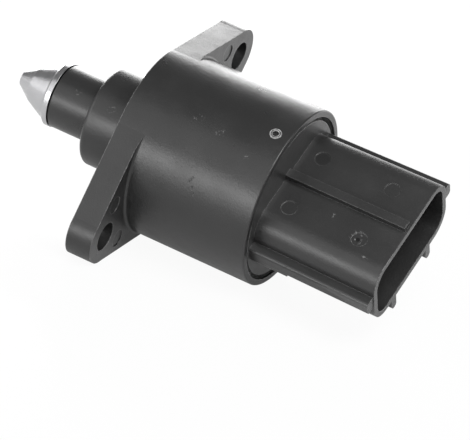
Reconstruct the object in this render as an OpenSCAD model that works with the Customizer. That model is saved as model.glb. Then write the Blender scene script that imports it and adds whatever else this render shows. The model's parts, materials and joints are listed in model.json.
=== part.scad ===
// Idle air control valve: a stepper motor in a moulded housing drives a conical
// metering pintle in and out along the valve's axis.
// Frame: origin on the axis at the flange's seating face, +X towards the
// connector, +Y along the two mounting ears, +Z towards the connector's key rib.

/* [Housing] */
// Diameter of the motor housing
housing_d = 34; // [32:0.5:36]
// Length from the flange's seating face to the housing's open rim
housing_l = 29.7; // [29:0.1:34]
// Wall of the housing at the rim
rim_wall = 1.2; // [0.8:0.1:1.6]
// Thickness of the housing floor behind the seating face
floor_t = 3.2; // [2.5:0.1:4]
// Thickness of the mounting flange
flange_t = 5.1; // [4:0.1:6.5]
// Distance between the centres of the two mounting holes
bolt_spacing = 47.2; // [45:0.1:52]
// Radius of the flange's ears
ear_r = 5.25; // [4.2:0.05:6]
// Diameter of the mounting holes
bolt_hole_d = 5.5; // [4.5:0.1:6.5]
// Radius of the fillet between the ears and the housing
ear_fillet = 0.55; // [0.3:0.05:1]

/* [Neck and nose] */
// Diameter of the neck that fits the throttle body
neck_d = 19.1; // [17:0.1:22]
// Length of the neck from the seating face
neck_l = 9.2; // [8.5:0.05:12]
// Rounding of the neck's front edge
neck_edge_r = 0.9; // [0.4:0.1:1.4]
// Diameter of the nose that carries the guide bush
nose_d = 12; // [11.4:0.1:14]
// Length of the nose in front of the neck
nose_l = 8.8; // [8:0.05:12]
// Radius of the spring recess in the end of the nose
recess_r = 4.7; // [4.5:0.05:5]
// Depth of the spring recess
recess_depth = 4.6; // [4:0.1:5]

/* [Pintle and lead screw] */
// Travel of the pintle
stroke = 8; // [4:0.5:9]
// Radius of the pintle's collar
collar_r = 6.15; // [5.9:0.05:6.6]
// Thickness of the pintle's collar
collar_t = 1.3; // [0.8:0.1:2]
// Radius of the cone where it leaves the collar
cone_base_r = 5.65; // [5:0.05:5.8]
// Radius of the cone where its angle changes
cone_break_r = 3.58; // [3:0.02:4.5]
// Radius of the cone's blunt tip
cone_tip_r = 1.6; // [1:0.1:2.2]
// Length of the slow cone next to the collar
cone_slow_l = 4.25; // [3:0.05:6]
// Length of the steep cone at the tip
cone_steep_l = 3; // [2:0.1:4]
// Radius of the plain shaft
shaft_r = 2; // [1.7:0.05:2.1]
// Height of the flat above the shaft's axis, as a share of its radius
shaft_flat_share = 0.72; // [0.6:0.02:0.85]
// Outer radius of the screw thread
screw_r = 2.5; // [2.3:0.05:2.6]
// Length of the brass nut
nut_l = 7; // [5:0.5:8]
// Outer radius of the brass nut
nut_r = 4; // [3.5:0.1:4.3]

/* [Motor] */
// Outer radius of the rotor magnet
magnet_r = 7.6; // [7.2:0.05:7.8]
// Radius of the rotor hub under the magnet
hub_r = 5; // [4.8:0.1:5.6]
// Air gap between magnet and pole claws
air_gap = 0.35; // [0.2:0.05:0.5]
// Sheet thickness of the stator steel
sheet_t = 0.8; // [0.6:0.05:1]
// Pole claws on each plate
claw_count = 6; // [4:1:8]
// Wall of the bobbins
bobbin_wall = 0.65; // [0.5:0.05:0.9]
// Clearance between the bobbin flanges and the stator cups
bobbin_clear = 0.77; // [0.5:0.01:1.5]
// Depth of the windings below the edges of the bobbin flanges
winding_dip = 0.6; // [0.3:0.1:1.5]

/* [Bearings and seals] */
// Outer radius of the ball bearing
bearing_r = 6.5; // [6.2:0.1:7]
// Bore radius of the ball bearing
bearing_bore_r = 3.4; // [3.2:0.05:3.6]
// Width of the ball bearing
bearing_w = 4; // [3.2:0.1:4.4]
// Balls in the ball bearing
ball_count = 8; // [6:1:8]
// Radius of the rear journal on the rotor hub
journal_r = 3.6; // [3.2:0.1:3.9]
// Outer radius of the rear bush
rear_bush_r = 5.2; // [4.8:0.1:5.6]
// Outer radius of the guide bush in the nose
guide_r = 4.2; // [3.6:0.1:4.4]
// Thickness of the shaft seal
seal_t = 1.7; // [1.2:0.1:2]
// Outer radius of the shaft seal
seal_r = 5; // [4.2:0.1:5.6]
// Section radius of the ring seal round the end cap
ring_seal_r = 0.7; // [0.5:0.05:0.8]

/* [Connector] */
// Turn of the connector about the valve's axis against the ears, in degrees
connector_turn = 2.8; // [0:0.1:4]
// Depth of the end cap from its face to the stator
cap_t = 6.1; // [5.6:0.1:6.6]
// Width of the gap between the end cap and the rim
cap_gap = 0.8; // [0.5:0.1:1.2]
// Length of the connector shroud from the end cap's face
shroud_l = 24.65; // [22:0.05:28]
// Width of the shroud at the end cap
shroud_w = 25.1; // [24:0.1:26]
// Widening of each side of the shroud from the end cap to the mouth
shroud_flare = 0.45; // [0.1:0.05:0.6]
// Height of the shroud
shroud_h = 13.55; // [12.6:0.05:14]
// Offset of the shroud's middle above the axis
shroud_lift = 0.3; // [0:0.1:1]
// Radius of the shroud's outer corners
shroud_corner_r = 4.35; // [3:0.05:4.5]
// Wall of the shroud at its mouth
mouth_wall = 1.1; // [0.9:0.1:1.4]
// Width of the ledge inside the mouth
ledge_w = 1.15; // [0.8:0.05:1.3]
// Depth of the ledge behind the mouth
ledge_depth = 9.5; // [7:0.5:11]
// Depth of the socket
socket_depth = 18; // [16:0.5:20]
// Distance between neighbouring terminals
pin_pitch = 5.08; // [4.6:0.02:5.2]
// Width of each terminal
pin_w = 1; // [0.8:0.1:1.4]
// Thickness of each terminal
pin_t = 0.8; // [0.6:0.1:1]
// Length of each terminal inside the socket
pin_l = 12; // [9:0.5:13]
// Reach of the side ribs beyond the shroud's sides
side_rib_out = 2; // [1.2:0.1:2.2]
// Thickness of the side ribs
side_rib_t = 2.8; // [1.8:0.1:3]
// Rounding of the side ribs' long edges
side_rib_edge_r = 0.6; // [0.3:0.05:0.8]
// Height of the side ribs' middle above the axis
side_rib_lift = 1; // [0:0.1:1.6]
// Distance of the side ribs' ends behind the mouth
side_rib_setback = 0.2; // [0.1:0.1:2]
// Length of the thicker foot of the side ribs from the end cap's face
rib_foot_l = 7.8; // [5:0.1:9]
// Width of the key rib
key_w = 1.8; // [1.4:0.1:2.4]
// Height of the key rib above the shroud
key_h = 1.15; // [0.8:0.05:1.6]
// Outer width across the latch rails
latch_w = 13.8; // [12.6:0.1:15]
// Thickness of the latch rails
latch_rail_t = 1.5; // [1:0.05:1.8]
// Height of the latch rails below the shroud
latch_rail_h = 2.95; // [2.4:0.05:3.4]
// Height of the slot under the latch guard
latch_slot_h = 1.5; // [1.2:0.1:1.8]
// Thickness of the latch guard
latch_guard_t = 2.2; // [1.6:0.1:2.4]
// Distance of the latch guard behind the mouth
latch_setback = 10; // [8:0.5:12]
// Length of the ramp that leads to the latch slot
latch_ramp_l = 6; // [4:0.5:7]
// Width of the notch in the middle of the latch ramp
latch_notch_w = 4.1; // [3:0.1:5]

/* [Hidden] */

// Facets of a full turn
$fn = 96;
// Running clearance between parts that turn or slide in each other
run_fit = 0.06;
// Clearance between fixed parts that seat in each other
seat_fit = 0.03;
// Overrun of cutting tools past a face
over = 0.5;
// Steps of a quarter-round edge
arc_steps = 6;

// Radii that follow the housing
housing_r = housing_d / 2;
shell_r = housing_r - rim_wall;
ear_x = bolt_spacing / 2;
ear_lean = asin((housing_r - ear_r) / ear_x);
flank_inset = 0.05;

// Places along the axis, from the nose to the mouth
nose_x = -neck_l - nose_l;
neck_front_wall = 4.25;
bearing_x = -neck_l + neck_front_wall;
seal_x = bearing_x - seal_t - 2 * seat_fit;
web_t = 1.2;
guide_x1 = seal_x - web_t;
guide_x0 = nose_x + recess_depth;
stack_x0 = floor_t + seat_fit;
rim_step = 0.3;
cap_x = housing_l - rim_step;
stack_x1 = cap_x - cap_t - seat_fit;
coil_l = (stack_x1 - stack_x0) / 2;
mouth_x = cap_x + shroud_l;
socket_x = mouth_x - socket_depth;

// Places along the lead screw, with the pintle drawn in
screw_end_gap = 1;
thread_x0 = bearing_x + stroke + screw_end_gap;
nut_x0 = thread_x0 + screw_end_gap;
nut_x1 = nut_x0 + nut_l;
screw_x1 = nut_x1 + stroke + screw_end_gap / 4;

// Rotor
hub_front_x = bearing_x + bearing_w + run_fit;
magnet_end_gap = 0.4;
magnet_x0 = stack_x0 + magnet_end_gap;
magnet_x1 = stack_x1 - 2.7;
hub_shoulder = 0.5;
hub_x1 = magnet_x1 + hub_shoulder;
washer_t = 0.3;
rear_bush_x0 = hub_x1 + washer_t + 4 * run_fit;
rear_bush_l = 3.8;
journal_x1 = rear_bush_x0 + rear_bush_l;
boss_floor_x = journal_x1 + screw_end_gap / 4;
boss_wall = 1.5;
screw_bore_r = screw_r + 0.15;

// Stator
claw_in_r = magnet_r + air_gap;
claw_out_r = claw_in_r + sheet_t * 0.8;
claw_l_share = 0.75;
claw_root_share = 0.5;
claw_tip_share = 0.28;
cup_r = shell_r - seat_fit;
plate_r = cup_r - sheet_t - seat_fit;
bobbin_in_r = claw_out_r + 0.12;
bobbin_gap = 0.1;
bobbin_r = cup_r - sheet_t - bobbin_clear;
winding_r = bobbin_r - winding_dip;

// A solid of revolution about the valve's axis from points of radius and place
module turned(points) {
    rotate([0, 90, 0])
        rotate_extrude()
            polygon(points);
}

// A plain ring about the valve's axis
module ring(x0, x1, r_in, r_out) {
    turned([[r_in, x0], [r_out, x0], [r_out, x1], [r_in, x1]]);
}

// A round bar along the valve's axis
module bar(x0, x1, r) {
    translate([x0, 0, 0])
        rotate([0, 90, 0])
            cylinder(h = x1 - x0, r = r);
}

// A block between two corners
module block(low, high) {
    translate(low)
        cube([high[0] - low[0], high[1] - low[1], high[2] - low[2]]);
}

// A quarter-round in a turned outline, about a centre of radius and place
function quarter(centre, r, from, to) = [
    for (i = [0 : arc_steps])
        let (a = from + (to - from) * i / arc_steps)
            centre + r * [cos(a), sin(a)]
];

// The outline of the flange as a slab: the round middle, the ears and the
// straight flanks that run from one to the other, just inside both circles
module flange_slab(x0, x1) {
    flank = [sin(ear_lean), cos(ear_lean)];
    ear_flank = (ear_r - flank_inset) * flank;
    body_flank = (housing_r - flank_inset) * flank;
    bar(x0, x1, housing_r);
    for (side = [-1, 1])
        translate([0, side * ear_x, 0])
            bar(x0, x1, ear_r);
    translate([x0, 0, 0])
        rotate([90, 0, 90])
            linear_extrude(height = x1 - x0)
                polygon([
                    [ear_x + ear_flank[0], ear_flank[1]],
                    [body_flank[0], body_flank[1]],
                    [-body_flank[0], body_flank[1]],
                    [-ear_x - ear_flank[0], ear_flank[1]],
                    [-ear_x - ear_flank[0], -ear_flank[1]],
                    [-body_flank[0], -body_flank[1]],
                    [body_flank[0], -body_flank[1]],
                    [ear_x + ear_flank[0], -ear_flank[1]]
                ]);
}

// Housing: flange, shell, neck and nose moulded in one piece
rim_edge = 0.3;
nose_edge = 0.35;
mark_r = 1.65;
mark_depth = 0.15;
mark_y_share = 0.84;
mark_z = 4.9;
pip_r = 1.05;
pip_hole_r = 0.62;
pip_h = 0.12;
pip_setback = 2.9;

module housing_outside() {
    turned(concat(
        [[0, nose_x]],
        quarter([nose_d / 2 - nose_edge, nose_x + nose_edge], nose_edge, -90, 0),
        [[nose_d / 2, -neck_l]],
        quarter([neck_d / 2 - neck_edge_r, neck_edge_r - neck_l], neck_edge_r, -90, 0),
        [[neck_d / 2, 0], [housing_r, 0]],
        quarter([housing_r - rim_edge, housing_l - rim_edge], rim_edge, 0, 90),
        [[0, housing_l]]
    ));
    flange_slab(0, flange_t);
    intersection() {
        turned(concat(
            [[housing_r - over, flange_t - over], [housing_r + ear_fillet, flange_t - over]],
            quarter([housing_r + ear_fillet, flange_t + ear_fillet], ear_fillet, 270, 180),
            [[housing_r - over, flange_t + ear_fillet]]
        ));
        flange_slab(flange_t - over, flange_t + ear_fillet);
    }
    translate([housing_l - pip_setback, 0, 0])
        cylinder(h = housing_r + pip_h, r = pip_r);
}

module housing_inside() {
    bar(floor_t, housing_l + over, shell_r);
    bar(bearing_x, floor_t + over, bearing_r + seat_fit);
    bar(seal_x, bearing_x + over, seal_r + seat_fit);
    bar(guide_x1 - over, seal_x + over, screw_r);
    bar(guide_x0 - over, guide_x1, guide_r + seat_fit);
    bar(nose_x - over, guide_x0, recess_r);
}

module housing() {
    color([0.09, 0.09, 0.1])
        difference() {
            housing_outside();
            housing_inside();
            for (side = [-1, 1]) {
                translate([0, side * ear_x, 0])
                    bar(-over, flange_t + over, bolt_hole_d / 2);
                for (up = [-1, 1])
                    translate([0, side * ear_x * mark_y_share, up * mark_z])
                        bar(flange_t - mark_depth, flange_t + over, mark_r);
            }
            translate([housing_l - pip_setback, 0, housing_r - rim_wall / 3])
                cylinder(h = rim_wall, r = pip_hole_r);
        }
}

// End cap with the connector's shroud, ribs and latch in one moulding
cap_r = shell_r - cap_gap;
cap_shoulder = 1.8;
cap_inner_wall = 2.4;
skirt_wall = 2.6;
groove_w = 2 * ring_seal_r + 0.2;
groove_setback = 2.6;
groove_r = shell_r - seat_fit - 2 * ring_seal_r - 0.05;
eject_r = 1.45;
eject_depth = 0.1;
eject_y = 6;
eject_front = 3.65;
eject_back = 6.8;
rib_foot_step = 0.2;
rib_foot_inset = 0.1;
key_setback = 0.5;
pocket_w = 2.5;
pocket_h = 1.7;
pocket_depth = 1.2;
platform_w = 4 * pin_pitch - 1.1;
platform_h = 3;
platform_depth = 0.4;

shroud_top = shroud_lift + shroud_h / 2;
shroud_low = shroud_lift - shroud_h / 2;

// A bar of rounded rectangular section along the axis
module rounded_bar(x0, x1, w, h, lift, r) {
    block([x0, -w / 2 + r, lift - h / 2], [x1, w / 2 - r, lift + h / 2]);
    block([x0, -w / 2, lift - h / 2 + r], [x1, w / 2, lift + h / 2 - r]);
    for (sy = [-1, 1])
        for (sz = [-1, 1])
            translate([0, sy * (w / 2 - r), lift + sz * (h / 2 - r)])
                bar(x0, x1, r);
}

// Two halves of what is drawn between two places, each half turned outwards by
// the draft of the shroud's sides
module flared(x0, x1) {
    for (side = [-1, 1])
        intersection() {
            block([x0, min(0, side * housing_d), -housing_d], [x1, max(0, side * housing_d), housing_d]);
            translate([cap_x, 0, 0])
                rotate([0, 0, side * atan(shroud_flare / shroud_l)])
                    translate([-cap_x, 0, 0])
                        children();
        }
}

module shroud_inset(x0, x1, inset) {
    flared(x0, x1)
        rounded_bar(x0 - over, x1 + over, shroud_w - 2 * inset, shroud_h - 2 * inset, shroud_lift,
            max(shroud_corner_r - inset, mouth_wall));
}

// Side ribs as a plate through the shroud, of which the rounded sides stand out,
// with a slightly deeper foot next to the end cap
module side_ribs() {
    rib_x1 = mouth_x - side_rib_setback;
    foot_x1 = cap_x + rib_foot_l;
    foot_half = shroud_w / 2 + side_rib_out - rib_foot_inset;
    foot_low = side_rib_lift - side_rib_t / 2 - rib_foot_step;
    flared(cap_x - over, rib_x1)
        rounded_bar(cap_x - 2 * over, rib_x1 + over, shroud_w + 2 * side_rib_out, side_rib_t,
            side_rib_lift, side_rib_edge_r);
    flared(cap_x - over, foot_x1)
        block([cap_x - 2 * over, -foot_half, foot_low], [foot_x1 + over, foot_half, side_rib_lift]);
}

module cap_disc() {
    turned([
        [0, boss_floor_x], [rear_bush_r + boss_wall, boss_floor_x],
        [rear_bush_r + boss_wall, rear_bush_x0], [rear_bush_r + seat_fit, rear_bush_x0],
        [rear_bush_r + seat_fit, journal_x1 + seat_fit], [0, journal_x1 + seat_fit]
    ]);
    turned([
        [0, cap_x - cap_inner_wall], [shell_r - seat_fit, cap_x - cap_inner_wall],
        [shell_r - seat_fit, cap_x], [0, cap_x]
    ]);
    ring(cap_x - cap_t, cap_x - over, shell_r - skirt_wall, shell_r - seat_fit);
    ring(journal_x1, cap_x - over, 0, rear_bush_r + boss_wall);
}

module latch() {
    rail_low = shroud_low - latch_rail_h;
    guard_top = rail_low - latch_slot_h;
    guard_low = guard_top - latch_guard_t;
    guard_x1 = mouth_x - latch_setback;
    ramp_x1 = mouth_x - rim_step;
    for (side = [-1, 1])
        translate([0, side * (latch_w - latch_rail_t) / 2, 0]) {
            block([cap_x - over, -latch_rail_t / 2, rail_low + latch_rail_t / 2],
                [mouth_x, latch_rail_t / 2, shroud_low + mouth_wall / 2]);
            translate([0, 0, rail_low + latch_rail_t / 2])
                bar(cap_x - over, mouth_x, latch_rail_t / 2);
            block([cap_x - over, -latch_rail_t / 2, guard_low],
                [guard_x1, latch_rail_t / 2, rail_low + over]);
        }
    block([cap_x - over, -latch_w / 2, guard_low], [guard_x1, latch_w / 2, guard_top]);
    difference() {
        translate([0, latch_w / 2 - latch_rail_t / 2, 0])
            rotate([90, 0, 0])
                linear_extrude(height = latch_w - latch_rail_t)
                    polygon([
                        [cap_x - over, shroud_low + mouth_wall / 2],
                        [cap_x - over, rail_low],
                        [ramp_x1 - latch_ramp_l, rail_low],
                        [ramp_x1, shroud_low - mouth_wall / 4],
                        [ramp_x1, shroud_low + mouth_wall / 2]
                    ]);
        block([cap_x + over, -latch_notch_w / 2, rail_low - over],
            [mouth_x, latch_notch_w / 2, rail_low + mouth_wall]);
    }
}

module cap_solid() {
    difference() {
        union() {
            cap_disc();
            shroud_inset(cap_x - over, mouth_x, 0);
            side_ribs();
            block([cap_x - over, -key_w / 2, 0], [mouth_x - key_setback, key_w / 2, shroud_top + key_h]);
            latch();
        }
        ring(cap_x - cap_shoulder, housing_l + rim_step, cap_r, housing_r);
        ring(cap_x - cap_t - over, boss_floor_x, rear_bush_r + boss_wall,
            shell_r - skirt_wall - over);
        ring(cap_x - groove_setback - groove_w, cap_x - groove_setback, groove_r, shell_r + over);
        shroud_inset(mouth_x - ledge_depth, mouth_x + over, mouth_wall);
        shroud_inset(socket_x, mouth_x, mouth_wall + ledge_w);
        translate([socket_x, 0, shroud_lift]) {
            block([-platform_depth, -platform_w / 2, -platform_h / 2],
                [over, platform_w / 2, platform_h / 2]);
            for (i = [0 : 3])
                block([-platform_depth - pocket_depth, pin_y(i) - pocket_w / 2, -pocket_h / 2],
                    [0, pin_y(i) + pocket_w / 2, pocket_h / 2]);
        }
        for (i = [0 : 3])
            terminal_blank(i, socket_x);
        for (side = [-1, 1])
            for (place = [cap_x + eject_front, mouth_x - eject_back])
                translate([place, side * eject_y, shroud_top - eject_depth])
                    cylinder(h = over, r = eject_r);
    }
}

module connector_cap() {
    color([0.1, 0.1, 0.11])
        rotate([connector_turn, 0, 0])
            cap_solid();
}

module cap_seal() {
    color([0.05, 0.05, 0.05])
        translate([cap_x - groove_setback - groove_w / 2, 0, 0])
            rotate([0, 90, 0])
                rotate_extrude()
                    translate([shell_r - ring_seal_r - seat_fit, 0])
                        circle(r = ring_seal_r, $fn = 32);
}

// Terminals: rectangular pins with a pointed tip; the two inner ones step
// outwards inside the cap and pass beside the boss of the rear bush
foot_x = stack_x1 + 0.6;
bend_x = cap_x - 2.1;
riser_h = 8.4;
pin_tip_l = 1.1;

function pin_y(i) = (i - 1.5) * pin_pitch;

module terminal_blank(i, x1) {
    inner = abs(i - 1.5) < 1;
    translate([0, pin_y(i), shroud_lift]) {
        block([inner ? bend_x : foot_x, -pin_w / 2, -pin_t / 2], [x1, pin_w / 2, pin_t / 2]);
        if (inner) {
            block([bend_x, -pin_w / 2, 0], [bend_x + pin_t, pin_w / 2, riser_h]);
            block([foot_x, -pin_w / 2, riser_h - pin_t], [bend_x + pin_t, pin_w / 2, riser_h]);
        }
    }
}

module terminal(i) {
    tip_x = socket_x + pin_l;
    color([0.75, 0.62, 0.35])
        rotate([connector_turn, 0, 0]) {
            terminal_blank(i, tip_x - pin_tip_l);
            translate([0, pin_y(i), shroud_lift])
                intersection() {
                    block([tip_x - 2 * pin_tip_l, -pin_w / 2, -pin_t / 2], [tip_x, pin_w / 2, pin_t / 2]);
                    turned([
                        [0, tip_x - 2 * pin_tip_l], [pin_w, tip_x - 2 * pin_tip_l],
                        [pin_w, tip_x - pin_tip_l], [pin_w / 4, tip_x], [0, tip_x]
                    ]);
                }
        }
}

module terminal_1() { terminal(0); }
module terminal_2() { terminal(1); }
module terminal_3() { terminal(2); }
module terminal_4() { terminal(3); }

// Stator: two cups and two pole plates with interleaved claws
module claws(root_x, tip_x, turn) {
    pitch_w = 2 * PI * claw_in_r / claw_count;
    intersection() {
        ring(min(root_x, tip_x), max(root_x, tip_x), claw_in_r, claw_out_r);
        for (i = [0 : claw_count - 1])
            rotate([(i + turn) * 360 / claw_count, 0, 0])
                linear_extrude(height = claw_out_r + over)
                    polygon([
                        [root_x, -pitch_w * claw_root_share / 2],
                        [tip_x, -pitch_w * claw_tip_share / 2],
                        [tip_x, pitch_w * claw_tip_share / 2],
                        [root_x, pitch_w * claw_root_share / 2]
                    ]);
    }
}

// One cup, from its plate at x0 to its open edge; dir is +1 or -1
module stator_cup(x0, dir) {
    x1 = x0 + dir * coil_l;
    plate_x = x0 + dir * sheet_t;
    color([0.6, 0.61, 0.63]) {
        ring(min(x0, x1), max(x0, x1), cup_r - sheet_t, cup_r);
        ring(min(x0, plate_x), max(x0, plate_x), claw_in_r, cup_r - sheet_t / 2);
        claws(x0, x0 + dir * coil_l * claw_l_share, 0);
    }
}

// One pole plate inside the open edge of a cup
module pole_plate(x0, dir) {
    plate_x = x0 + dir * sheet_t;
    color([0.6, 0.61, 0.63]) {
        ring(min(x0, plate_x), max(x0, plate_x), claw_in_r, plate_r);
        claws(x0, x0 + dir * coil_l * claw_l_share, 0.5);
    }
}

module front_stator_cup() { stator_cup(stack_x0, 1); }
module front_pole_plate() { pole_plate(stack_x0 + coil_l, -1); }
module rear_pole_plate() { pole_plate(stack_x0 + coil_l, 1); }
module rear_stator_cup() { stator_cup(stack_x1, -1); }

module bobbin(x0) {
    low = x0 + sheet_t + bobbin_gap;
    high = x0 + coil_l - sheet_t - bobbin_gap;
    color([0.86, 0.84, 0.76])
        turned([
            [bobbin_in_r, low], [bobbin_r, low], [bobbin_r, low + bobbin_wall],
            [bobbin_in_r + bobbin_wall, low + bobbin_wall],
            [bobbin_in_r + bobbin_wall, high - bobbin_wall],
            [bobbin_r, high - bobbin_wall], [bobbin_r, high], [bobbin_in_r, high]
        ]);
}

module winding(x0) {
    low = x0 + sheet_t + bobbin_gap + bobbin_wall + seat_fit;
    high = x0 + coil_l - sheet_t - bobbin_gap - bobbin_wall - seat_fit;
    crown = bobbin_wall / 2;
    color([0.72, 0.4, 0.2])
        turned([
            [bobbin_in_r + bobbin_wall + seat_fit, low], [winding_r - crown, low],
            [winding_r, low + crown], [winding_r, high - crown], [winding_r - crown, high],
            [bobbin_in_r + bobbin_wall + seat_fit, high]
        ]);
}

module front_bobbin() { bobbin(stack_x0); }
module rear_bobbin() { bobbin(stack_x0 + coil_l); }
module front_winding() { winding(stack_x0); }
module rear_winding() { winding(stack_x0 + coil_l); }

// Rotor: a magnet ring on a moulded hub with a brass nut
module rotor_magnet() {
    color([0.2, 0.2, 0.22])
        ring(magnet_x0, magnet_x1, hub_r + seat_fit, magnet_r);
}

module rotor_hub() {
    color([0.85, 0.85, 0.8])
        difference() {
            turned([
                [screw_bore_r, bearing_x + run_fit], [bearing_bore_r - seat_fit, bearing_x + run_fit],
                [bearing_bore_r - seat_fit, hub_front_x], [hub_r, hub_front_x],
                [hub_r, hub_x1], [journal_r, hub_x1],
                [journal_r, journal_x1 - run_fit], [screw_bore_r, journal_x1 - run_fit]
            ]);
            bar(nut_x0, nut_x1, nut_r + seat_fit);
        }
}

module lead_nut() {
    color([0.78, 0.65, 0.3])
        ring(nut_x0 + seat_fit, nut_x1 - seat_fit, screw_r + run_fit, nut_r);
}

// Ball bearing at the front of the rotor
ball_circle_r = (bearing_r + bearing_bore_r) / 2;
ball_share = 0.31;
ball_r = (bearing_r - bearing_bore_r) * ball_share;
race_r = ball_r + run_fit;
race_share = 0.3;
race_t = (bearing_r - bearing_bore_r) * race_share;
bearing_mid_x = bearing_x + bearing_w / 2;

module race_groove() {
    translate([bearing_mid_x, 0, 0])
        rotate([0, 90, 0])
            rotate_extrude()
                translate([ball_circle_r, 0])
                    circle(r = race_r, $fn = 32);
}

module bearing_outer_ring() {
    color([0.75, 0.76, 0.78])
        difference() {
            ring(bearing_x, bearing_x + bearing_w, bearing_r - race_t, bearing_r);
            race_groove();
        }
}

module bearing_inner_ring() {
    color([0.75, 0.76, 0.78])
        difference() {
            ring(bearing_x, bearing_x + bearing_w, bearing_bore_r, bearing_bore_r + race_t);
            race_groove();
        }
}

module at_balls() {
    for (i = [0 : ball_count - 1])
        rotate([i * 360 / ball_count, 0, 0])
            translate([bearing_mid_x, 0, ball_circle_r])
                children();
}

module bearing_balls() {
    color([0.85, 0.86, 0.88])
        at_balls()
            sphere(r = ball_r, $fn = 32);
}

module bearing_cage() {
    cage_t = (bearing_r - bearing_bore_r - 2 * race_t) / 2;
    cage_w = 2 * ball_r + 4 * run_fit;
    color([0.5, 0.42, 0.25])
        difference() {
            ring(bearing_mid_x - cage_w / 2 - run_fit, bearing_mid_x + cage_w / 2 + run_fit,
                ball_circle_r - cage_t / 2, ball_circle_r + cage_t / 2);
            at_balls()
                translate([0, 0, -cage_t])
                    cylinder(h = 2 * cage_t, r = race_r);
        }
}

// Rear bush, thrust washer, shaft seal and guide bush
module rear_bush() {
    color([0.6, 0.5, 0.35])
        ring(rear_bush_x0, journal_x1, journal_r + run_fit, rear_bush_r);
}

module thrust_washer() {
    color([0.75, 0.76, 0.78])
        ring(hub_x1 + seat_fit, hub_x1 + seat_fit + washer_t,
            journal_r + seat_fit, rear_bush_r - 2 * run_fit);
}

// The shaft's section: a circle with one flat
module flat_bar(x0, x1, r, grow) {
    difference() {
        bar(x0, x1, r + grow);
        block([x0 - over, -r - over, r * shaft_flat_share + grow], [x1 + over, r + over, 2 * r + over]);
    }
}

module shaft_seal() {
    color([0.12, 0.12, 0.12])
        difference() {
            bar(seal_x + seat_fit, bearing_x - seat_fit, seal_r);
            flat_bar(seal_x - over, bearing_x + over, shaft_r, 2 * run_fit);
        }
}

module guide_bush() {
    color([0.6, 0.5, 0.35])
        difference() {
            bar(guide_x0, guide_x1 - seat_fit, guide_r);
            flat_bar(guide_x0 - over, guide_x1 + over, shaft_r, run_fit);
        }
}

// Lead screw and pintle, which slide together
pintle_x = nose_x - run_fit;
pintle_boss_l = 1.4;
pintle_boss_r = 2.9;
spigot_r = 1.5;
spigot_l = 5;
shaft_front_x = pintle_x + pintle_boss_l;
screw_chamfer = 0.4;
tip_edge = 0.3;
tip_edge_end = -20;
collar_edge = 0.35;

module lead_screw() {
    color([0.7, 0.71, 0.73]) {
        bar(shaft_front_x - spigot_l, shaft_front_x + over, spigot_r);
        flat_bar(shaft_front_x, thread_x0 + over, shaft_r, 0);
        turned([
            [0, thread_x0], [screw_r - screw_chamfer, thread_x0], [screw_r, thread_x0 + screw_chamfer],
            [screw_r, screw_x1 - screw_chamfer], [screw_r - screw_chamfer, screw_x1], [0, screw_x1]
        ]);
    }
}

module pintle() {
    collar_x = pintle_x - collar_t;
    break_x = collar_x - cone_slow_l;
    tip_x = break_x - cone_steep_l;
    color([0.78, 0.78, 0.8])
        difference() {
            turned(concat(
                [[0, tip_x]],
                quarter([cone_tip_r - tip_edge, tip_x + tip_edge], tip_edge, -90, tip_edge_end),
                [[cone_break_r, break_x], [cone_base_r, collar_x], [collar_r - collar_edge, collar_x],
                    [collar_r, collar_x + collar_edge], [collar_r, pintle_x],
                    [pintle_boss_r, pintle_x], [pintle_boss_r, shaft_front_x], [0, shaft_front_x]]
            ));
            bar(shaft_front_x - spigot_l - seat_fit, shaft_front_x + over, spigot_r + seat_fit);
        }
}

// Spring that takes up the play between screw and nut
spring_wire_r = 0.25;
spring_turns = 5;
spring_sides = 6;
spring_steps = 20;
spring_r = (recess_r + pintle_boss_r) / 2;
spring_x0 = pintle_x + spring_wire_r + seat_fit;
spring_x1 = guide_x0 - spring_wire_r - seat_fit;

function spring_point(step, side) =
    let (
        turn = step / spring_steps,
        a = 360 * turn,
        b = 360 * side / spring_sides,
        r = spring_r + spring_wire_r * cos(b),
        x = spring_x0 + (spring_x1 - spring_x0) * turn / spring_turns + spring_wire_r * sin(b)
    ) [x, r * cos(a), r * sin(a)];

module pintle_spring() {
    last = spring_turns * spring_steps;
    points = [
        for (step = [0 : last])
            for (side = [0 : spring_sides - 1])
                spring_point(step, side)
    ];
    walls = [
        for (step = [0 : last - 1])
            for (side = [0 : spring_sides - 1])
                let (next = (side + 1) % spring_sides)
                    [step * spring_sides + side, step * spring_sides + next,
                        (step + 1) * spring_sides + next, (step + 1) * spring_sides + side]
    ];
    ends = [
        [for (side = [spring_sides - 1 : -1 : 0]) side],
        [for (side = [0 : spring_sides - 1]) last * spring_sides + side]
    ];
    color([0.7, 0.71, 0.74])
        polyhedron(points = points, faces = concat(walls, ends), convexity = spring_turns + 1);
}

housing();
connector_cap();
cap_seal();
terminal_1();
terminal_2();
terminal_3();
terminal_4();
front_stator_cup();
front_pole_plate();
rear_pole_plate();
rear_stator_cup();
front_bobbin();
rear_bobbin();
front_winding();
rear_winding();
rotor_magnet();
rotor_hub();
lead_nut();
bearing_outer_ring();
bearing_inner_ring();
bearing_balls();
bearing_cage();
rear_bush();
thrust_washer();
shaft_seal();
guide_bush();
lead_screw();
pintle();
pintle_spring();
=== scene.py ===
"""Looks of the idle air control valve: materials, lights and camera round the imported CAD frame.

Sizes and places are in millimetres, in the frame of the CAD, unless a comment says otherwise.
"""

import json
import math
from functools import cached_property

import bpy
from mathutils import Matrix, Vector


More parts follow.
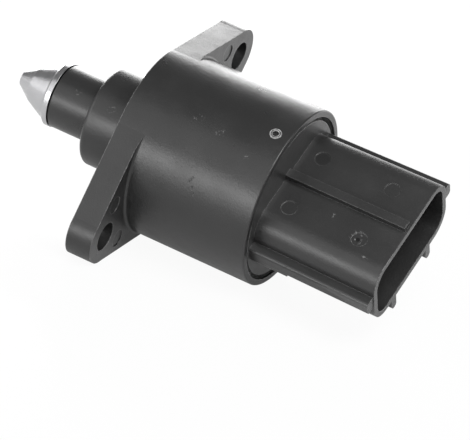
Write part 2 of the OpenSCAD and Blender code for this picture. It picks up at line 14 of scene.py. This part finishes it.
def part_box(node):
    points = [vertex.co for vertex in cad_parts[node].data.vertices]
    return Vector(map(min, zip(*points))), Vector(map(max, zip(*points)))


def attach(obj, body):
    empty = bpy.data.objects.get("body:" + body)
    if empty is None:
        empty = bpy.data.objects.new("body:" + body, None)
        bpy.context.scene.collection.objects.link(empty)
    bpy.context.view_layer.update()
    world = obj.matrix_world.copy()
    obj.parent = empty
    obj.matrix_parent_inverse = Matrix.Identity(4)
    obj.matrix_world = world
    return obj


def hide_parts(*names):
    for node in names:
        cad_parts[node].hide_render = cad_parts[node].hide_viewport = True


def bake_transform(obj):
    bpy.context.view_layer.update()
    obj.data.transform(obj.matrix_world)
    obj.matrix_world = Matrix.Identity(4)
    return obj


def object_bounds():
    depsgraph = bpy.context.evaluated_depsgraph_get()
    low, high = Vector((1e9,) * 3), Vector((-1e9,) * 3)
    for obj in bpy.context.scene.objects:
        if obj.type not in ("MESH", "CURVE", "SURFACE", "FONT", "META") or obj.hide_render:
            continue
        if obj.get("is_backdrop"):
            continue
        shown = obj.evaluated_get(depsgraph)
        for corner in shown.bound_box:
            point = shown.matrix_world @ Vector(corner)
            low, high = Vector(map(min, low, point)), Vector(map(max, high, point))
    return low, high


MM = 0.001

# Samples of the shader nodes that look for edges
EDGE_SAMPLES = 6

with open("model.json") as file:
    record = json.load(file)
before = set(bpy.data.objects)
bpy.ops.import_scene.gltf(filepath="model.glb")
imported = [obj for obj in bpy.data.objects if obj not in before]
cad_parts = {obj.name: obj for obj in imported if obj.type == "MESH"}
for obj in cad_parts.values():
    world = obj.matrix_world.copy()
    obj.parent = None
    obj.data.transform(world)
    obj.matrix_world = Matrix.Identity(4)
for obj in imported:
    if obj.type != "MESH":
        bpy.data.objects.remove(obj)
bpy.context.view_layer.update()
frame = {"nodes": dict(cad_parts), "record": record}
nodes = frame["nodes"]


def place(name, data):
    """A new object of the data, in the scene."""
    made = bpy.data.objects.new(name, data)
    bpy.context.scene.collection.objects.link(made)
    return made


def mesh_object(name, points, faces, material):
    """A smooth-shaded mesh from points in millimetres."""
    mesh = bpy.data.meshes.new(name)
    mesh.from_pydata([tuple(c * MM for c in point) for point in points], [], faces)
    mesh.polygons.foreach_set("use_smooth", [True] * len(mesh.polygons))
    mesh.materials.append(material)
    return place(name, mesh)


# Camera
# Direction, turn, distance and shift of the photo's view, fitted to outlines of the object
AZIMUTH, ELEVATION, ROLL = (math.radians(angle) for angle in (31.904, 53.053, -2.007))
FOCAL_PX, WIDTH_PX = 4871.801, 470
DISTANCE, SHIFT_X, SHIFT_Y = 873.880, 1.669, 7.643
AIM = Vector((20, 0, 0))
SENSOR = 36
CLIP_NEAR_M, CLIP_FAR_M = 0.01, 20

back = Vector((
    math.sin(AZIMUTH) * math.cos(ELEVATION), -math.cos(AZIMUTH) * math.cos(ELEVATION), math.sin(ELEVATION)))
side = Vector((math.cos(AZIMUTH), math.sin(AZIMUTH), 0))
rise = back.cross(side)
right = side * math.cos(ROLL) + rise * math.sin(ROLL)
up = rise * math.cos(ROLL) - side * math.sin(ROLL)
eye = AIM + back * DISTANCE - right * SHIFT_X - up * SHIFT_Y

camera_data = bpy.data.cameras.new("camera")
camera_data.sensor_width = SENSOR
camera_data.lens = SENSOR * FOCAL_PX / WIDTH_PX
camera_data.clip_start = CLIP_NEAR_M
camera_data.clip_end = CLIP_FAR_M
camera = place("camera", camera_data)
camera.matrix_world = Matrix.Translation(eye * MM) @ Matrix((right, up, back)).transposed().to_4x4()
bpy.context.scene.camera = camera
bpy.context.scene.view_settings.view_transform = "Standard"


# Materials
class Nodes:
    """Adds and links the shader nodes of one material or world."""

    def __init__(self, owner):
        self.owner = owner
        owner.use_nodes = True
        self.tree = owner.node_tree
        self.tree.nodes.clear()

    def add(self, kind, **settings):
        made = self.tree.nodes.new(kind)
        for key, value in settings.items():
            setattr(made, key, value)
        return made

    def put(self, socket, value):
        """Link an output to the socket, or set a plain value on it."""
        if hasattr(value, "is_output"):
            self.tree.links.new(value, socket)
        else:
            socket.default_value = value

    def math(self, operation, a, b=0.0, clamp=False):
        made = self.add("ShaderNodeMath", operation=operation, use_clamp=clamp)
        self.put(made.inputs[0], a)
        self.put(made.inputs[1], b)
        return made.outputs[0]

    def vector(self, operation, a, b):
        made = self.add("ShaderNodeVectorMath", operation=operation)
        self.put(made.inputs[0], a)
        self.put(made.inputs[1], b)
        name = "Value" if operation in ("LENGTH", "DOT_PRODUCT", "DISTANCE") else "Vector"
        return made.outputs[name]

    def scaled(self, vector, factor):
        made = self.add("ShaderNodeVectorMath", operation="SCALE")
        self.put(made.inputs[0], vector)
        self.put(made.inputs["Scale"], factor)
        return made.outputs[0]

    @cached_property
    def spot(self):
        """The place on the object in millimetres."""
        return self.scaled(self.add("ShaderNodeTexCoord").outputs["Object"], 1 / MM)

    def along(self, direction):
        """Place along one direction."""
        return self.vector("DOT_PRODUCT", self.spot, Vector(direction))

    def away(self, centre):
        """Distance from a point."""
        return self.vector("DISTANCE", self.spot, Vector(centre))

    def radius(self):
        """Distance from the valve's axis."""
        return self.vector("LENGTH", self.vector("MULTIPLY", self.spot, Vector((0, 1, 1))), Vector())

    def noise(self, scale, detail=3.0, rough=0.55, stretch=(1, 1, 1)):
        """Noise with features of about 1 / scale millimetres."""
        made = self.add("ShaderNodeTexNoise")
        self.put(made.inputs["Vector"], self.vector("MULTIPLY", self.spot, Vector(stretch)))
        self.put(made.inputs["Scale"], scale)
        self.put(made.inputs["Detail"], detail)
        self.put(made.inputs["Roughness"], rough)
        return made.outputs[0]

    def rings(self, scale, distortion):
        """Slightly wavy rings round the valve's axis."""
        made = self.add("ShaderNodeTexWave", wave_type="BANDS", bands_direction="X", wave_profile="SIN")
        self.put(made.inputs["Vector"], self.spot)
        self.put(made.inputs["Scale"], scale)
        self.put(made.inputs["Distortion"], distortion)
        return made.outputs[0]

    def spread(self, value, low, high, to_low, to_high):
        """A soft step from to_low to to_high while the value goes from low to high."""
        made = self.add("ShaderNodeMapRange", interpolation_type="SMOOTHSTEP")
        for socket, setting in zip(made.inputs, (value, low, high, to_low, to_high)):
            self.put(socket, setting)
        return made.outputs[0]

    def both(self, *masks):
        made = masks[0]
        for mask in masks[1:]:
            made = self.math("MULTIPLY", made, mask)
        return made

    def band(self, value, low, high, soft):
        """A mask, 1 from low to high, that fades over a soft width outside them."""
        rise_mask = self.spread(value, low - soft, low, 0, 1)
        fall_mask = self.spread(value, high, high + soft, 1, 0)
        return self.both(rise_mask, fall_mask)

    def mix(self, share, a, b):
        made = self.add("ShaderNodeMix", data_type="RGBA")
        self.put(made.inputs["Factor"], share)
        self.put(made.inputs[6], a)
        self.put(made.inputs[7], b)
        return made.outputs[2]

    def bump(self, height, strength, distance, normal=None):
        made = self.add("ShaderNodeBump")
        self.put(made.inputs["Strength"], strength)
        self.put(made.inputs["Distance"], distance * MM)
        self.put(made.inputs["Height"], height)
        if normal is not None:
            self.put(made.inputs["Normal"], normal)
        return made.outputs[0]

    def edge(self, radius):
        """A normal that rounds the edges by a radius."""
        made = self.add("ShaderNodeBevel", samples=EDGE_SAMPLES)
        self.put(made.inputs["Radius"], radius * MM)
        return made.outputs[0]

    def edge_highlight_mask(self, radius):
        """A mask of the outer edges, for their painted highlight: where a rounding would turn the surface,
        and no corner shades it.
        """
        face = self.add("ShaderNodeNewGeometry").outputs["Normal"]
        turn = self.spread(self.vector("DOT_PRODUCT", self.edge(radius), face), 0.8, 0.99, 1, 0)
        shade = self.add("ShaderNodeAmbientOcclusion", samples=EDGE_SAMPLES)
        self.put(shade.inputs["Distance"], 2 * radius * MM)
        return self.both(turn, self.spread(shade.outputs["AO"], 0.6, 0.9, 0, 1))

    def circle(self, centre, radius, width):
        """A mask of a thin, uneven circle round a point of an upper face."""
        off = self.math("ABSOLUTE", self.math("SUBTRACT", self.away(centre), radius))
        height = self.math("SUBTRACT", self.along((0, 0, 1)), centre[2])
        return self.both(
            self.spread(off, width * 0.3, width, 1, 0), self.spread(height, -0.25, -0.15, 0, 1),
            self.spread(self.noise(1.6, 2), 0.35, 0.6, 0.35, 1))

    def flecks(self, centre, radius):
        """A mask of small flecks that thin out from a point."""
        return self.both(
            self.spread(self.away(centre), radius * 0.3, radius, 1, 0),
            self.spread(self.noise(2.0, 3, 0.7), 0.57, 0.66, 0, 1))

    def segment(self, a, b, width):
        """A soft mask, 1 on the line from a to b and 0 beyond its width."""
        run = Vector(b) - Vector(a)
        start = self.vector("SUBTRACT", self.spot, Vector(a))
        share = self.math("DIVIDE", self.vector("DOT_PRODUCT", start, run), run.length_squared, clamp=True)
        gap = self.vector("DISTANCE", start, self.scaled(run, share))
        return self.spread(gap, width * 0.2, width, 1, 0)

    def principled(self, color, rough, metallic=0.0, normal=None):
        """Finish the material with one shader, and return it."""
        made = self.add("ShaderNodeBsdfPrincipled")
        self.put(made.inputs["Base Color"], color)
        self.put(made.inputs["Roughness"], rough)
        self.put(made.inputs["Metallic"], metallic)
        if normal is not None:
            self.put(made.inputs["Normal"], normal)
        self.put(self.add("ShaderNodeOutputMaterial").inputs["Surface"], made.outputs[0])
        return self.owner


def new_material(name):
    return Nodes(bpy.data.materials.new(name))


def grey(tone):
    return (tone, tone, tone, 1.0)


def tint(color, factor=1.0):
    return tuple(min(c * factor, 1) for c in color) + (1.0,)


# Black plastic: the rounding of its edges, the width of the painted highlight on them, and the tones of its
# marks and of its painted light
EDGE_R, EDGE_HIGHLIGHT_W = 0.18, 0.28
EDGE_HIGHLIGHT_TONE, FLECK_TONE, RING_TONE, GAP_LIGHT_TONE, ROOT_LIGHT_TONE, SPOT_TONE = 0.3, 0.3, 0.45, 0.3, 0.06, 0.001
FLECK_SHARE = 0.5
DENT_STRENGTH, DENT_DEPTH = 0.55, 0.08

# Unevenness of the black plastic from coarse to fine: scale, detail, roughness and stretch of the
# noise, strength and height of the bump
WAVES = [
    (0.22, 3, 0.55, (1, 1, 1), 0.3, 0.14),
    (1.3, 3, 0.6, (1, 1, 1), 0.25, 0.04),
    (4, 3, 0.6, (1.4, 0.7, 0.7), 0.62, 0.045),
]

# Gap between shell and end cap, painted paler than its shade as painted light: its radii, its bottom and the
# cap's outer face
CAP_R, BORE_R, GAP_X, FACE_X = 15.0, 15.8, 27.0, 29.4
GAP_EDGE = 0.05

# Heights of the shroud's upper face and key rib, where the painted edge highlight is kept faint
CALM_LOW, CALM_HIGH, CALM_SHARE = 6.8, 8.3, 0.7

# Marks on the shell. Flecks: centre and radius. Rings: centre, radius and width, round the pin mark.
# Dents: two ends and width.
PIN_MARK = (26.8, 0, 17.1)
SHELL_MARKS = {
    "flecks": [
        ((17.9, -3.9, 16.5), 1.3), ((13.0, -3.2, 16.7), 1.3), ((24.5, -6.0, 15.9), 0.9),
        ((-13.6, -1.6, 5.8), 0.9), ((-5.0, -4.0, 8.6), 1.0),
    ],
    "rings": [(PIN_MARK, 1.0, 0.16), (PIN_MARK, 0.66, 0.12)],
    "dents": [
        ((16.5, -12.9, 11.1), (16.9, -12.2, 11.8), 0.32),
        ((17.2, -13.3, 10.6), (17.4, -13.5, 10.3), 0.3),
        ((17.9, -13.9, 9.8), (18.0, -14.1, 9.5), 0.22),
    ],
    "spots": [],
}

# Marks on the connector. Dark spots, one of them in an ejector mark: centre, radius and share.
CAP_MARKS = {
    "flecks": [((46.6, -6.2, 6.8), 1.9), ((50.0, -9.0, 6.8), 0.9), ((40.5, -4.2, 7.1), 1.0)],
    "rings": [],
    "dents": [((45.9, -7.0, 7.1), (46.4, -7.2, 7.1), 0.45)],
    "spots": [((33.05, 5.65, 7.36), 1.4, 0.45), ((47.0, -6.5, 6.8), 0.5, 1.0)],
}


def gap_painted_light(n):
    """A mask of the painted light in the gap round the end cap, which lifts the gap's shade."""
    x = n.along((1, 0, 0))
    end = FACE_X - GAP_EDGE
    return n.both(
        n.band(n.radius(), CAP_R - GAP_EDGE, BORE_R + GAP_EDGE, GAP_EDGE),
        n.spread(x, GAP_X, GAP_X + 0.2, 0, 1), n.spread(x, end - 0.3, end, 1, 0.1))


def shroud_root_painted_light(n):
    """A mask of painted light: the end cap's face and the shroud's first millimetre made paler, fading away
    from the face.
    """
    x = n.along((1, 0, 0))
    return n.both(n.spread(x, FACE_X - 0.1, FACE_X, 0, 0.4), n.spread(x, FACE_X, FACE_X + 1.2, 1, 0))


def painted_edge_highlights(n, calm):
    """A broken mask of the outer edges for their painted highlight, fainter at the shroud's upper face where
    calm is true.
    """
    mask = n.both(n.edge_highlight_mask(EDGE_HIGHLIGHT_W), n.spread(n.noise(2.2, 4, 0.75), 0.42, 0.6, 0.25, 0.95))
    if calm:
        upper = n.band(n.along((0, 0, 1)), CALM_LOW, CALM_HIGH, 0.05)
        mask = n.both(mask, n.math("SUBTRACT", 1.0, n.math("MULTIPLY", upper, CALM_SHARE)))
    return mask


def black_plastic(name, tone, rough, marks, connector=False):
    """Moulded black plastic: faint grain, worn patches, painted highlights on the edges, painted light in
    the cap's gap and at the shroud's root, and marks.
    """
    n = new_material(name)
    cloud = n.noise(0.12, 4)
    color = n.mix(cloud, grey(tone * 0.85), grey(tone * 1.15))
    # Painted light: the gap round the end cap made paler than its shade
    color = n.mix(gap_painted_light(n), color, grey(GAP_LIGHT_TONE))
    if connector:
        # Painted light: the end cap's face and the shroud's root made paler
        color = n.mix(shroud_root_painted_light(n), color, grey(ROOT_LIGHT_TONE))
    # Painted highlight: pale, broken lines along the outer edges
    color = n.mix(painted_edge_highlights(n, connector), color, grey(EDGE_HIGHLIGHT_TONE))
    for centre, radius, share in marks["spots"]:
        color = n.mix(n.spread(n.away(centre), radius * 0.75, radius, share, 0), color, grey(SPOT_TONE))
    for centre, radius in marks["flecks"]:
        color = n.mix(n.math("MULTIPLY", n.flecks(centre, radius), FLECK_SHARE), color, grey(FLECK_TONE))
    for centre, radius, width in marks["rings"]:
        color = n.mix(n.circle(centre, radius, width), color, grey(RING_TONE))

    rub = n.spread(n.noise(0.5, 5, 0.7), 0.5, 0.75, 0, 0.07)
    roughness = n.math("ADD", n.spread(cloud, 0.3, 0.7, rough - 0.04, rough + 0.04), rub)
    normal = n.edge(EDGE_R)
    for scale, detail, noise_rough, stretch, strength, height in WAVES:
        normal = n.bump(n.noise(scale, detail, noise_rough, stretch), strength, height, normal)
    chip = n.spread(n.noise(2.4, 3, 0.7), 0.4, 0.6, 0.2, 1)
    for a, b, width in marks["dents"]:
        dent = n.math("SUBTRACT", 0.0, n.both(n.segment(a, b, width), chip))
        normal = n.bump(dent, DENT_STRENGTH, DENT_DEPTH, normal)
    return n.principled(color, roughness, normal=normal)


def turned_metal(name, tone, rough, pitch):
    """Turned and polished metal: fine rings round the axis and soft stains."""
    n = new_material(name)
    stain = n.noise(0.8, 4)
    color = n.mix(stain, tint(tone, 0.88), tint(tone))
    roughness = n.spread(stain, 0.3, 0.7, rough, rough + 0.08)
    return n.principled(color, roughness, 1.0, n.bump(n.rings(pitch, 1.2), 0.25, 0.01, n.edge(0.1)))


def grained_metal(name, tone, rough, grain=5.0, stretch=(1, 1, 1)):
    """Sheet, drawn or sintered metal with a grain and a slightly uneven tone."""
    n = new_material(name)
    fine = n.noise(grain, 3, 0.6, stretch)
    color = n.mix(n.noise(0.6, 4), tint(tone, 0.78), tint(tone, 1.12))
    roughness = n.spread(fine, 0.3, 0.7, rough - 0.06, rough + 0.08)
    return n.principled(color, roughness, 1.0, n.bump(fine, 0.3, 0.02, n.edge(0.06)))


def moulded(name, tone, rough, grain=5.0):
    """Plain moulded plastic, rubber or ferrite with a matt grain."""
    n = new_material(name)
    fine = n.noise(grain, 3)
    color = n.mix(n.noise(0.4, 4), tint(tone, 0.85), tint(tone, 1.1))
    roughness = n.spread(fine, 0.3, 0.7, rough - 0.05, rough + 0.07)
    return n.principled(color, roughness, normal=n.bump(fine, 0.3, 0.02, n.edge(0.08)))


def winding(name):
    """Enamelled copper wire wound in rows: each turn is a fine ridge round the axis, its colour darker in
    the grooves and brighter on the crests as painted shade.
    """
    n = new_material(name)
    turns = n.rings(1.6, 0.4)
    # Painted shade: darker between the turns, brighter on their crests
    color = n.mix(turns, (0.16, 0.045, 0.015, 1), (0.5, 0.17, 0.06, 1))
    color = n.mix(n.spread(n.noise(0.5, 3), 0.4, 0.7, 0, 0.5), color, (0.3, 0.09, 0.03, 1))
    return n.principled(color, 0.32, 0.7, n.bump(turns, 0.8, 0.06))


looks = {
    "housing_plastic": black_plastic("housing_plastic", 0.017, 0.31, SHELL_MARKS),
    "cap_plastic": black_plastic("cap_plastic", 0.02, 0.34, CAP_MARKS, connector=True),
    "seal_rubber": moulded("seal_rubber", (0.015, 0.015, 0.015), 0.6),
    "terminal_brass": grained_metal("terminal_brass", (0.75, 0.62, 0.36), 0.28, 6, (0.2, 1, 1)),
    "stator_steel": grained_metal("stator_steel", (0.52, 0.53, 0.54), 0.36),
    "bobbin_plastic": moulded("bobbin_plastic", (0.72, 0.69, 0.6), 0.45),
    "winding_enamel": winding("winding_enamel"),
    "magnet_ferrite": moulded("magnet_ferrite", (0.06, 0.06, 0.065), 0.55, 9),
    "bearing_steel": turned_metal("bearing_steel", (0.6, 0.61, 0.63), 0.2, 5),
    "bush_bronze": grained_metal("bush_bronze", (0.45, 0.3, 0.15), 0.45, 8),
    "pintle_metal": turned_metal("pintle_metal", (0.5, 0.5, 0.51), 0.19, 9),
}
for entry in frame["record"]["subparts"]:
    mesh = nodes[entry["node"]].data
    mesh.materials.clear()
    mesh.materials.append(looks[entry["material_slot"]])


# Pintle: its radii from tip to bore, the lengths of its parts, and the rounding of tip and collar
TIP_R, BREAK_R, CONE_R, COLLAR_R, BOSS_R, BORE_IN_R = 1.6, 3.58, 5.65, 6.15, 2.9, 1.53
STEEP_L, SLOW_L, COLLAR_T, BOSS_L, BORE_DEPTH = 3.0, 4.25, 1.3, 1.4, 5.03
TIP_EDGE, COLLAR_EDGE = 0.3, 0.35
TIP_ANGLES = (-90, -60, -40, -20)


def ring_point(x, r, angle):
    return (x, r * math.cos(angle), r * math.sin(angle))


def lathe(name, profile, material, sides=128):
    """A closed body turned round the axis from (x, radius) pairs, with a crisp edge at each pair."""
    points, faces = [], []
    for band in zip(profile, profile[1:]):
        rings = []
        for x, r in band:
            count = sides if r > 0 else 1
            rings.append([len(points) + i % count for i in range(sides)])
            points += [ring_point(x, r, 2 * math.pi * i / sides) for i in range(count)]
        for i in range(sides):
            j = (i + 1) % sides
            corners = [rings[0][i], rings[1][i], rings[1][j], rings[0][j]]
            faces.append(tuple(dict.fromkeys(corners)))
    return mesh_object(name, points, faces, material)


def pintle_profile(tip_x):
    """The pintle's outline from its tip to its boss, and back down the bore for the shaft."""
    break_x = tip_x + STEEP_L
    collar_x = break_x + SLOW_L
    rear_x = collar_x + COLLAR_T
    boss_x = rear_x + BOSS_L
    tip = [
        (tip_x + TIP_EDGE + TIP_EDGE * math.sin(a), TIP_R - TIP_EDGE + TIP_EDGE * math.cos(a))
        for a in (math.radians(angle) for angle in TIP_ANGLES)]
    return [
        (tip_x, 0), *tip, (break_x, BREAK_R), (collar_x, CONE_R), (collar_x, COLLAR_R - COLLAR_EDGE),
        (collar_x + COLLAR_EDGE, COLLAR_R), (rear_x, COLLAR_R), (rear_x, BOSS_R), (boss_x, BOSS_R),
        (boss_x, BORE_IN_R), (boss_x - BORE_DEPTH, BORE_IN_R), (boss_x - BORE_DEPTH, 0)]


low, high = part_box("pintle")
turned = lathe("pintle_turned", pintle_profile(low.x / MM), looks["pintle_metal"])
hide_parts("pintle")
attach(turned, "plunger")


# Spring
WIRE_R, SPRING_TURNS = 0.25, 5


def coil(name, material, wire_r, turn_r, x0, x1, turns, sides=12, steps=36):
    """A closed helical wire round the axis from x0 to x1."""
    points, faces = [], []
    last = turns * steps
    for i in range(last + 1):
        turn = i / steps
        x = x0 + (x1 - x0) * turn / turns
        for j in range(sides):
            b = 2 * math.pi * j / sides
            across, outward = wire_r * math.sin(b), wire_r * math.cos(b)
            points.append(ring_point(x + across, turn_r + outward, 2 * math.pi * turn))
    for i in range(last):
        for j in range(sides):
            k = (j + 1) % sides
            faces.append((i * sides + j, i * sides + k, (i + 1) * sides + k, (i + 1) * sides + j))
    faces.append(tuple(range(sides - 1, -1, -1)))
    faces.append(tuple(last * sides + j for j in range(sides)))
    return mesh_object(name, points, faces, material)


low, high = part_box("pintle_spring")
spring = coil(
    "spring_wire", looks["bearing_steel"], WIRE_R, high.y / MM - WIRE_R,
    low.x / MM + WIRE_R, high.x / MM - WIRE_R, SPRING_TURNS)
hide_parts("pintle_spring")
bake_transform(spring)


# Floor and world
# The valve lies on its round housing and on the lower flank of the flange, so the
# ground is the plane that touches both: its normal leans back by the flank's angle
LEAN = math.radians(29.9)
FLOOR_GAP, FLOOR_REACH = 0.02, 3000
GROUND_TONE, GROUND_ROUGH, SKY_TONE = 0.8, 0.2, 0.2

ground_up = Vector((0, math.sin(LEAN), math.cos(LEAN)))
ground_back = Vector((0, math.cos(LEAN), -math.sin(LEAN)))
along = Vector((1, 0, 0))


def white_where_seen(n, plain, white, output, clear, glossy):
    """Plain shader for the rays that light the part, and white by two shares for those that show it."""
    path = n.add("ShaderNodeLightPath").outputs
    seen = n.math("MAXIMUM", path["Is Camera Ray"], path["Is Transmission Ray"])
    share = n.math("ADD", n.math("MULTIPLY", seen, clear), n.math("MULTIPLY", path["Is Glossy Ray"], glossy))
    mixer = n.add("ShaderNodeMixShader")
    for socket, value in zip(mixer.inputs, (share, plain.outputs[0], white.outputs[0])):
        n.put(socket, value)
    n.put(n.add(output).inputs["Surface"], mixer.outputs[0])
    return n.owner


def white_ground():
    """A pale polished floor that is white to the camera and keeps a faint shadow."""
    n = new_material("white_ground")
    matt = n.add("ShaderNodeBsdfPrincipled")
    n.put(matt.inputs["Base Color"], grey(GROUND_TONE))
    n.put(matt.inputs["Roughness"], GROUND_ROUGH)
    glow = n.add("ShaderNodeEmission")
    return white_where_seen(n, matt, glow, "ShaderNodeOutputMaterial", clear=0.94, glossy=0.3)


def white_world():
    """A grey sky that is white to the camera."""
    n = Nodes(bpy.data.worlds.new("world"))
    sky = n.add("ShaderNodeBackground")
    n.put(sky.inputs["Color"], grey(SKY_TONE))
    white = n.add("ShaderNodeBackground")
    n.put(white.inputs["Color"], grey(1.0))
    return white_where_seen(n, sky, white, "ShaderNodeOutputWorld", clear=1.0, glossy=0.1)


low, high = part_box("housing")
under = ground_up * (low.z / MM - FLOOR_GAP)
corners = [
    under + (along * x + ground_back * y) * FLOOR_REACH
    for x, y in ((-1, -1), (1, -1), (1, 1), (-1, 1))]
floor = mesh_object("floor", corners, [(0, 1, 2, 3)], white_ground())
floor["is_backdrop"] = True
bpy.context.scene.world = white_world()


# Lights
# Even panels behind the part: name, ends along the axis, lowest and highest edge over the axis,
# and radiance. They stand on one plane, and their reflections make the white upper edges.
STRIP_BACK = 150
STRIPS = [
    ("back_left", -190, -38, -17, 92, 7.5),
    ("back_mid", -38, -18, -17, 55, 4.2),
    ("back_low", -18, 250, -17, 50, 1.5),
]

# Even panels that face the part: name, azimuth from straight behind towards +X and elevation over
# the ground in degrees, distance, width, height, and radiance
PANELS = [
    ("front_low", -162, 5.5, 900, 800, 270, 6.0),
    ("front_fill", -160, 39, 1000, 1000, 690, 0.95),
    ("left_fill", -118, 15, 1000, 900, 550, 1.7),
    ("right_key", 124, 55, 400, 300, 220, 6.8),
]


def add_panel(name, spot, facing, width, height, radiance):
    """An even rectangular lamp at a spot, turned against the direction that it lies in."""
    lamp = bpy.data.lights.new(name, "AREA")
    lamp.shape = "RECTANGLE"
    lamp.size = width * MM
    lamp.size_y = height * MM
    lamp.energy = radiance * math.pi * lamp.size * lamp.size_y
    made = place(name, lamp)
    toward = facing.normalized()
    across = ground_up.cross(toward).normalized()
    turn = Matrix((across, toward.cross(across), toward)).transposed().to_4x4()
    made.matrix_world = Matrix.Translation(spot * MM) @ turn
    made.visible_camera = False


for name, x0, x1, bottom, top, radiance in STRIPS:
    spot = along * (x0 + x1) / 2 + ground_back * STRIP_BACK + ground_up * (bottom + top) / 2
    add_panel(name, spot, ground_back, x1 - x0, top - bottom, radiance)

for name, azimuth, elevation, distance, width, height, radiance in PANELS:
    a, e = math.radians(azimuth), math.radians(elevation)
    level = ground_back * math.cos(a) + along * math.sin(a)
    spot = (level * math.cos(e) + ground_up * math.sin(e)) * distance
    add_panel(name, spot, spot, width, height, radiance)

low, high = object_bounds()
